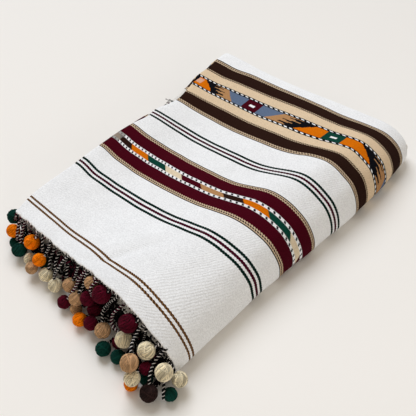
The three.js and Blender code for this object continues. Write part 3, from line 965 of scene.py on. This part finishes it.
def fringe_cords():
    """Every cord that isn't listed in HAND_LAID: its root, its pompom if that shows, and its fringe.
    """
    settled = [b for b in BALLS if b["number"] not in dict(HAND_LAID)]
    cords = []
    for start in ("top", "low"):
        group = [b for b in settled if (b["number"] in LOW_FROM) == (start == "low")]
        group.sort(key=lambda b: b["place"][0])
        xs = spread([b["place"][0] + 7 for b in group], ROOM, LEFT + 2.4, LAST_ROOT[start])
        for ball, x in zip(group, xs):
            height = rim_height(x) - 2.6 if start == "top" else LOW_ROOTS_AT
            inside = 0.0 if start == "top" else RECESS - 2.0
            cords.append({
                "root": np.array([x, edge_y(x) + inside, height]), "ball": ball, "fringe": start,
            })
    for number in range(FREE_CORDS):
        x = lerp(LEFT + 6, 98.0, ((number + 0.5) / FREE_CORDS) ** 1.35) + rng.uniform(-2.5, 2.5)
        height = rim_height(x) * rng.uniform(0.45, 0.93)
        if any(low < x < high for low, high in OPEN_PLACES):
            continue
        cords.append({
            "root": np.array([x, edge_y(x) + rng.uniform(0.5, 5.0), height]),
            "ball": None,
            "fringe": "top" if height > 30 else "low",
            "end": np.array([
                x - rng.uniform(2, 13), edge_y(x) - rng.uniform(3, 7), rng.uniform(4, 13),
            ]),
        })
    return cords


def keep_lengths(chain, step):
    """Draws each cord's points back to their distance from one another, its root fixed."""
    for n in range(1, POINTS):
        link = chain[:, n] - chain[:, n - 1]
        length = np.linalg.norm(link, axis=1, keepdims=True)
        pull = link / length * (length - step[:, None]) / 2
        if n > 1:
            chain[:, n - 1] += pull
        chain[:, n] -= pull


def keep_clear(free, same):
    """Moves points off the pompoms, out of the cloth, up from the floor and off other cords."""
    for ball in BALLS:
        away = free - ball["place"]
        length = np.linalg.norm(away, axis=1, keepdims=True)
        room = ball["radius"] + CORD_RADIUS + 0.3
        free[:] = np.where(length < room, ball["place"] + away / length * room, free)
    front = np.where(free[:, 2] > 24, 2.2, 0.0)
    beside = (free[:, 0] > LEFT - 5) & (free[:, 0] < 108)
    free[:, 1] = np.where(beside, np.minimum(free[:, 1], edge_y(free[:, 0]) - front), free[:, 1])
    free[:, 2] = np.maximum(free[:, 2], CORD_RADIUS + 0.4)
    apart = free[None] - free[:, None]
    length = np.linalg.norm(apart, axis=-1)
    missing = np.where(same, 0.0, np.maximum(2 * CORD_RADIUS - length, 0.0))
    push = apart / np.maximum(length, 1e-6)[..., None] * missing[..., None] * 0.25
    free -= push.sum(axis=1)


def settle(cords):
    """Lets each cord sag from its root to its pompom and slide off all that it meets."""
    share = np.linspace(0, 1, POINTS)[None, :, None]
    roots = np.array([c["root"] for c in cords])
    aims = np.array([c["end"] if c["ball"] is None else c["ball"]["place"] for c in cords])
    rest = np.array([0.0 if c["ball"] is None else c["ball"]["radius"] for c in cords])
    ahead = roots - np.array([0, 2.5, 0])
    chain = ahead[:, None] + (aims - ahead)[:, None] * share
    chain[:, 0] = roots
    step = (np.linalg.norm(roots - aims, axis=1) - rest) * SLACK / (POINTS - 1)
    owner = np.repeat(np.arange(len(cords)), POINTS - 2)
    same = owner[:, None] == owner[None, :]
    for _ in range(SETTLING):
        keep_lengths(chain, step)
        toward = chain[:, -2] - aims
        toward /= np.linalg.norm(toward, axis=1, keepdims=True)
        chain[:, -1] = aims + toward * (rest[:, None] * WOUND + 0.2)
        free = chain[:, 1:-1].reshape(-1, 3)
        free[:, 2] -= SAG
        keep_clear(free, same)
        chain[:, 1:-1] = free.reshape(len(cords), POINTS - 2, 3)
    loose = rest == 0
    chain[loose, -1] = chain[loose, -2] + (chain[loose, -2] - chain[loose, -3])
    for cord, points in zip(cords, chain):
        cord["points"] = points
    return cords


def along_curve(points, spacing):
    """Points at an even spacing on a smooth curve through the given ones."""
    points = np.asarray(points, float)
    padded = np.vstack([2 * points[0] - points[1], points, 2 * points[-1] - points[-2]])
    fine = []
    for k in range(1, len(padded) - 2):
        a, b, c, d = padded[k - 1:k + 3]
        for t in np.linspace(0, 1, 12, endpoint=False):
            fine.append(0.5 * (
                2 * b + (c - a) * t + (2 * a - 5 * b + 4 * c - d) * t ** 2
                + (3 * b - a - 3 * c + d) * t ** 3
            ))
    fine.append(points[-1])
    fine = np.array(fine)
    reach = np.concatenate([[0], np.cumsum(np.linalg.norm(np.diff(fine, axis=0), axis=1))])
    count = max(3, int(reach[-1] / spacing))
    at = np.linspace(0, reach[-1], count)
    return np.stack([np.interp(at, reach, fine[:, n]) for n in range(3)], axis=1), at


def frames_along(line):
    """Two directions square to a line at each of its points, turning as little as they can."""
    way = np.gradient(line, axis=0)
    way /= np.linalg.norm(way, axis=1, keepdims=True)
    side = np.cross(way[0], [0.3, 0.2, 1.0])
    sides = []
    for direction in way:
        side = side - direction * side.dot(direction)
        side /= np.linalg.norm(side)
        sides.append(side)
    sides = np.array(sides)
    return sides, np.cross(way, sides)


class Bundle:
    """Many tubes gathered into one mesh."""

    def __init__(self):
        self.points = []
        self.faces = []
        self.material = []
        self.shade = []
        self.count = 0

    def tube(self, line, radius, sides, material, across=None, up=None):
        """A tube round a line, its ends drawn in."""
        if across is None:
            across, up = frames_along(line)
        angle = np.linspace(0, 2 * math.pi, sides, endpoint=False)
        radii = np.full(len(line), float(radius))
        radii[[0, -1]] *= 0.35
        ring = (
            across[:, None] * np.cos(angle)[None, :, None]
            + up[:, None] * np.sin(angle)[None, :, None]
        )
        points = line[:, None] + ring * radii[:, None, None]
        self.add(points.reshape(-1, 3), grid_faces(len(line), sides, 0, closed=True), material)

    def loop(self, line, across, up, width, height, shade):
        """A closed yarn round a ring of points, three sided, its ridge outward."""
        corners = ((width, -0.5 * height), (0, height), (-width, -0.5 * height))
        points = np.stack([line + across * a + up * b for a, b in corners], axis=1)
        faces = []
        for r in range(len(line)):
            q = (r + 1) % len(line)
            for c, d in ((0, 1), (1, 2), (2, 0)):
                faces.append((r * 3 + c, r * 3 + d, q * 3 + d, q * 3 + c))
        self.add(points.reshape(-1, 3), faces, 0, shade)

    def add(self, points, faces, material, shade=0.5):
        self.points.append(points)
        self.shade.append(np.full(len(points), float(shade)))
        self.faces += [tuple(k + self.count for k in face) for face in faces]
        self.material += [material] * len(faces)
        self.count += len(points)

    def piece(self, name, materials):
        shade = np.concatenate(self.shade)
        places = {"shade": np.stack([shade, shade], axis=1)}
        return mesh_piece(
            name, np.concatenate(self.points), self.faces, materials, places, self.material
        )


def thread_material(name, code, sheen=0.15):
    material, tree, shader = new_material(name)
    _, place = position(tree)
    fine = noise(tree, 0.7, place, 2.0)
    shade_wool(tree, shader, varied(tree, linear(code), 0.18, fine), fine, 0.12, sheen=sheen)
    return material


THREADS = {
    "black": thread_material("thread_black", "#0b090b", 0.02),
    "white": thread_material("thread_white", "#f3eeea"),
    "maroon": thread_material("thread_maroon", "#4b0a22", 0.02),
    "grey": thread_material("thread_grey", "#8b8686"),
}
THREAD_ORDER = list(THREADS)
THREAD_LIST = list(THREADS.values())


def twist(bundle, points, plies=PLIES, size=1.0, spin=1.0):
    """One twisted cord: its plies wind round its line."""
    line, at = along_curve(points, 0.5 * size)
    across, up = frames_along(line)
    for number, (colour, radius) in enumerate(plies):
        angle = spin * 2 * math.pi * (at / (TURN_LENGTH * size) + number / len(plies))
        off = PLY_OFF * size
        path = line + across * (np.cos(angle) * off)[:, None] + up * (np.sin(angle) * off)[:, None]
        bundle.tube(path, radius * size, 5, THREAD_ORDER.index(colour), across, up)


def fringe(cords):
    """The cords of both fringes, each as one piece."""
    pieces = []
    for start in ("top", "low"):
        bundle = Bundle()
        for cord in (c for c in cords if c["fringe"] == start):
            plies = list(PLIES)
            x = cord["root"][0]
            if rng.random() < 0.5 and (x < MAROON_BEFORE or x in MAROON_ALSO):
                plies[1] = ("maroon", 0.98)
            twist(bundle, cord["points"], plies, spin=1.0 if rng.random() < 0.8 else -1.0)
        piece = bundle.piece(f"fringe_cords_{start}", THREAD_LIST)
        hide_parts(f"fringe_{start}")
        pieces.append(piece)
    return pieces


HEADING_THREADS = 150  # short ends of the warp between the roots of the cords
RIM_STITCHES = 60  # threads that bind the fringed edge
DARK_AND_SHADE_TANGLE = 900  # dark thread ends behind the pompoms: real black cords, and dark threads as painted shade in the deep shadow there
LOW_DARK_AND_SHADE_ENDS = 150  # dark thread ends on the floor between the pompoms at the side fold, put there as painted shade in the gaps


def dark_and_shade_share(x, depth):
    """How thick the dark ends, partly painted shade behind the pompoms, hang at x and at a depth
    below the rim, from 0 to 1.
    """
    reach = np.interp(x, (-135, -110, -70, -45, 0, 30, 60, 100), (9, 14, 13, 5, 6, 15, 12, 13))
    return float(smooth((depth - reach) / 5.0))


def dark_and_shade_end(bundle, start, end):
    """A dark thread end, slightly bent, left out where it would meet a pompom; partly a real dark
    thread, partly painted shade.
    """
    end[2] = max(end[2], 1.6)
    bend = (start + end) / 2 + [rng.uniform(-1.5, 1.5), rng.uniform(-1.2, 0.4), 0.0]
    line, _ = along_curve([start, bend, end], 1.6)
    if any(np.linalg.norm(line - b["place"], axis=1).min() < b["radius"] + 0.8 for b in BALLS):
        return
    maroon = 0.32 if -75 < start[0] < 5 else 0.12
    colour = "maroon" if rng.random() < maroon else "black"
    bundle.tube(line, rng.uniform(0.9, 1.35), 5, THREAD_ORDER.index(colour))


def hang_short_ends(bundle):
    """Short thread ends that hang from the rim between the cords."""
    for number in range(HEADING_THREADS):
        x = lerp(LEFT + 2, 100.0, ((number + rng.uniform(0, 1)) / HEADING_THREADS) ** 1.4)
        share = 1.0 if number % 2 else rng.uniform(0.6, 0.95)
        top = rim_height(x) * share
        root = np.array([x, edge_y(x) + rng.uniform(0.8, 3.0), top - 2.4])
        reach = rng.uniform(3.0, 8.0)
        lean = rng.uniform(-0.9, 0.5)
        middle = root + [lean * reach * 0.4, -rng.uniform(1.4, 2.6), -reach * 0.4]
        tip = middle + [lean * reach * 0.5, rng.uniform(-1.2, 1.0), -reach * 0.6]
        tip[2] = max(tip[2], 1.5)
        shares = (0.4, 0.45, 0.15) if x < -65 or x > 20 else (0.55, 0.1, 0.35)
        colour = rng.choice(("black", "grey", "maroon"), p=shares)
        line, _ = along_curve([root, middle, tip], 1.1)
        bundle.tube(line, rng.uniform(0.4, 0.75), 4, THREAD_ORDER.index(colour))


def hang_dark_and_shade_ends(bundle):
    """Dark thread ends that hang from the layers under the rim, and some low at the side fold: real
    dark threads and painted shade in the deep shadow behind the pompoms.
    """
    for _ in range(DARK_AND_SHADE_TANGLE):
        x = lerp(LEFT + 5, 99.0, rng.random())
        rim = rim_height(x)
        depth = rng.uniform(4.0, rim - 3.0)
        if rng.random() > dark_and_shade_share(x, depth):
            continue
        length = rng.uniform(7.0, 15.0)
        out = rng.uniform(-2.0, 0.8 + 11.0 * max(0.0, 1 - (rim - depth) / 26.0))
        start = np.array([x, edge_y(x) - out, max(rim - depth, 4.0)])
        lean = rng.uniform(-0.8, 0.6)
        dark_and_shade_end(bundle, start, start + [lean * length, rng.uniform(-2.5, 0.5), -length * 0.8])
    for _ in range(LOW_DARK_AND_SHADE_ENDS):
        x, out = rng.uniform(58.0, 99.0), rng.uniform(6.0, 24.0)
        start = np.array([x, edge_y(x) - out, rng.uniform(4.0, 13.0)])
        dark_and_shade_end(bundle, start, start + rng.uniform((-6, -4, -8), (6, 4, -2)))


def stitch_rim(bundle):
    """The white threads that bind the fringed edge, over the rim and down its front."""
    for number in range(RIM_STITCHES):
        x = lerp(LEFT + 2, 101.0, (number + rng.uniform(0, 1)) / RIM_STITCHES)
        top = rim_height(x) + CLOTH / 2
        slant = rng.uniform(-1.2, 1.2)
        line, _ = along_curve([
            [x, edge_y(x) + rng.uniform(0.2, 1.6), top + 0.05],
            [x + slant * 0.5, edge_y(x) - 0.9, top - 0.5],
            [x + slant, edge_y(x) - 1.7, top - rng.uniform(2.2, 3.6)],
        ], 0.8)
        bundle.tube(line, rng.uniform(0.25, 0.42), 4, THREAD_ORDER.index("white"))


def heading():
    """All the loose threads between the cords, with the dark ends of painted shade among them."""
    bundle = Bundle()
    hang_short_ends(bundle)
    hang_dark_and_shade_ends(bundle)
    stitch_rim(bundle)
    return bundle.piece("fringe_heading", THREAD_LIST)


def hand_laid_cords():
    """The cords of HAND_LAID, each led on to its pompom if it has one."""
    numbered = {ball["number"]: ball for ball in BALLS}
    cords = []
    for number, way in HAND_LAID:
        points = [np.array([x, edge_y(x) - out, z], float) for x, out, z in way]
        ball = numbered.get(number)
        if ball is not None:
            toward = points[-1] - ball["place"]
            toward /= np.linalg.norm(toward)
            points.append(ball["place"] + toward * ball["radius"] * WOUND)
        cords.append({
            "root": points[0], "ball": ball, "points": np.array(points),
            "fringe": "low" if number in LOW_FROM else "top",
        })
    return cords


CORDS = settle(fringe_cords()) + hand_laid_cords()
fringes = fringe(CORDS)
fringes.append(heading())


# The pompoms: balls of yarn wound over their gather.

YARN_TURNS = 38
GATHERED_TURNS = 30  # of those, the turns that run over the gather
YARN_SIZE = (0.62, 0.5)  # half a yarn's width, and its height
FELT_SHARE = 0.925  # the felted core's radius as a share of the ball's
RING_STEPS = 32
YARN_SLANT = 0.55  # how far a turn twists round the ball on its way up, in radians
DIMPLE_WIDE, DIMPLE_DEEP = 0.09, 0.05  # the dimple at the gather, in shares of the radius
NECK_RADIUS = 1.7  # of the yarn tied round the gather


def turned_to(direction):
    """A frame of three directions whose third is the given one."""
    third = direction / np.linalg.norm(direction)
    first = np.cross(third, [0.31, 0.9, 0.2])
    first /= np.linalg.norm(first)
    return np.stack([first, np.cross(third, first), third])


def felt_core(radius):
    """The points and faces of a slightly lumpy ball round the origin."""
    rows, columns = 15, 24
    polar = np.linspace(0.02, math.pi - 0.02, rows)[:, None]
    turn = np.linspace(0, 2 * math.pi, columns, endpoint=False)[None]
    core = np.stack([
        np.sin(polar) * np.cos(turn), np.sin(polar) * np.sin(turn), np.cos(polar) + 0 * turn,
    ], axis=-1)
    lumps = 1 + 0.012 * np.sin(3 * turn + 2 * polar) + 0.012 * np.sin(5 * polar - turn)
    core = core * lumps[..., None] * radius
    return core.reshape(-1, 3), grid_faces(rows, columns, closed=True, flip=True)


def winding(number, angle):
    """One turn of yarn: a ring round the origin, of radius 1, and how far out it lies."""
    crossing = number >= GATHERED_TURNS
    if crossing:
        normal = rng.normal(size=3)
        lift = rng.uniform(0.965, 1.0)
    else:
        lean = rng.uniform(0.02, 0.2)
        around = math.pi * (number + rng.uniform(-0.4, 0.4)) / GATHERED_TURNS
        normal = np.array([math.cos(around), math.sin(around), lean])
        lift = rng.uniform(0.93, 0.98)
    first, second, _ = turned_to(normal)
    ring = first * np.cos(angle)[:, None] + second * np.sin(angle)[:, None]
    if not crossing:
        slant = YARN_SLANT * ring[:, 2]
        ring = np.stack([
            ring[:, 0] * np.cos(slant) - ring[:, 1] * np.sin(slant),
            ring[:, 0] * np.sin(slant) + ring[:, 1] * np.cos(slant),
            ring[:, 2],
        ], axis=1)
    return ring, lift


def wound_ball(ball, gather):
    """A felted core under yarn that runs over the gather, slanting, and some that crosses it."""
    radius = ball["radius"] * WOUND
    bundle = Bundle()
    axes = turned_to(gather)
    core, faces = felt_core(radius * FELT_SHARE)
    # shade 0 paints the core dark where it shows between the turns: painted shade in the gaps.
    bundle.add(core @ axes, faces, 0, shade=0.0)
    angle = np.linspace(0, 2 * math.pi, RING_STEPS, endpoint=False)
    for number in range(YARN_TURNS):
        ring, lift = winding(number, angle)
        along = np.roll(ring, -1, axis=0) - np.roll(ring, 1, axis=0)
        along /= np.linalg.norm(along, axis=1, keepdims=True)
        across = np.cross(along, ring)
        uneven_lift = 1 + 0.014 * np.sin(2 * angle + number) + 0.01 * np.sin(5 * angle - number)
        line = ring * radius * lift * uneven_lift[:, None]
        line[:, 2] -= np.exp(-((1 - ring[:, 2]) / DIMPLE_WIDE) ** 2) * DIMPLE_DEEP * radius
        bundle.loop(line @ axes, across @ axes, ring @ axes, *YARN_SIZE, rng.uniform(0.1, 1))
    neck = np.array([[0, 0, radius * share] for share in (0.9, 0.99, 1.06)])
    bundle.tube(neck @ axes, NECK_RADIUS, 8, 0)
    bundle.points = [points + ball["place"] for points in bundle.points]
    name = ball["node"].replace("pompom_", "yarn_ball_")
    piece = bundle.piece(name, [YARNS[ball["colour"]]])
    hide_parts(ball["node"])
    return piece


yarn_balls = []
for cord in CORDS:
    if cord["ball"] is not None:
        lead = cord["points"][-2] - cord["ball"]["place"]
        gather = lead / np.linalg.norm(lead) * 0.7 + np.array([-0.15, 0.3, 1.0])
        yarn_balls.append(wound_ball(cord["ball"], gather))


# Thread ends at the open side.

OPEN_SIDE_HEIGHT = 44.0
# Each tuft's y, its height as a share of the open side's, its reach and its colour.
TUFTS = (
    (190, 0.9, 4.0, "black"), (176, 0.75, 3.0, "black"), (141, 0.6, 2.5, "black"),
    (104, 0.85, 3.5, "black"), (70, 0.9, 5.0, "black"), (66, 0.8, 3.5, "maroon"),
    (26, 0.85, 3.0, "maroon"), (9, 0.8, 3.5, "black"), (-26, 0.95, 2.5, "black"),
    (-30, 0.8, 2.5, "maroon"), (118, 0.5, 2.5, "black"), (-88, 0.4, 2.5, "black"),
)


def side_threads():
    bundle = Bundle()
    for y, share, reach, colour in TUFTS:
        height = OPEN_SIDE_HEIGHT * share
        for _ in range(3):
            root = np.array([LEFT + 1.5, y + rng.uniform(-2, 2), height + rng.uniform(-1.5, 1.5)])
            out = -1.5 - reach * rng.uniform(0.6, 1.1)
            tip = root + [out, rng.uniform(-3, 3), rng.uniform(-4, 0.5)]
            bend = (root + tip) / 2 + [0, rng.uniform(-1, 1), 0.8]
            twist(bundle, [root, bend, tip], ((colour, 0.6), ("white", 0.4)), size=0.55)
    return bundle.piece("side_threads", THREAD_LIST)


threads = side_threads()


# Floor, light and camera.

FLOOR_HALF = 4.0  # metres from its middle to its sides
FLOOR_COLOUR = linear("#f2efea")
# Painted light falloff: the floor is painted a little darker toward the back. Its gain, and its
# change per mm.
FLOOR_LIGHT_GAIN, FLOOR_LIGHT_FALL = 0.985, -0.00016
# Each light's name, place, aim, size in metres, power in watts and colour.
LIGHTS = (
    ("window", (-2.1, 1.3, 3.3), (0, 0, 0), 2.8, 130.0, (0.94, 0.992, 1.078)),
    ("fill", (2.7, -1.7, 0.95), (0, 0, 0.03), 1.5, 13.0, (1.0, 0.98, 0.95)),
)
AIR_COLOUR, AIR_LIGHT = (1.0, 0.91, 0.79, 1), 0.43
CAMERA_AT = Vector((292.2, -396.9, 514.9)) * MM
CAMERA_TO = Vector((-5.4, -20.1, 0.0)) * MM
SENSOR, FOCAL_LENGTH = 36.0, 51.9


def floor():
    material, tree, shader = new_material("studio_floor")
    (x, y, _), _ = position(tree)
    # Painted light falloff over the floor.
    gain = (y - x * 0.8) * FLOOR_LIGHT_FALL + FLOOR_LIGHT_GAIN
    gain = gain.math("MINIMUM", 1.03).math("MAXIMUM", 0.85)
    feed(tree, shader.inputs["Base Color"], scaled(tree, FLOOR_COLOUR, gain))
    shader.inputs["Roughness"].default_value = 0.9
    shader.inputs["Specular IOR Level"].default_value = 0.1
    mesh = bpy.data.meshes.new("studio_floor")
    corners = [(x * FLOOR_HALF, y * FLOOR_HALF, 0) for x, y in ((-1, -1), (1, -1), (1, 1), (-1, 1))]
    mesh.from_pydata(corners, [], [(0, 1, 2, 3)])
    mesh.materials.append(material)
    placed("studio_floor", mesh)


def aim_from(thing, place, aim):
    thing.location = place
    thing.rotation_euler = (Vector(aim) - Vector(place)).to_track_quat("-Z", "Y").to_euler()


def area_light(name, place, aim, size, power, colour):
    data = bpy.data.lights.new(name, "AREA")
    data.shape = "DISK"
    data.size = size
    data.energy = power
    data.color = colour
    lamp = placed(name, data)
    aim_from(lamp, place, aim)


floor()
for light in LIGHTS:
    area_light(*light)

world = bpy.data.worlds.new("studio")
bpy.context.scene.world = world
world.use_nodes = True
background = world.node_tree.nodes["Background"]
background.inputs[0].default_value = AIR_COLOUR
background.inputs[1].default_value = AIR_LIGHT

lens = bpy.data.cameras.new("camera")
lens.sensor_width = SENSOR
lens.lens = FOCAL_LENGTH
lens.clip_start = 0.01
camera = placed("camera", lens)
aim_from(camera, CAMERA_AT, CAMERA_TO)
bpy.context.scene.camera = camera

bpy.context.scene.view_settings.view_transform = "Standard"
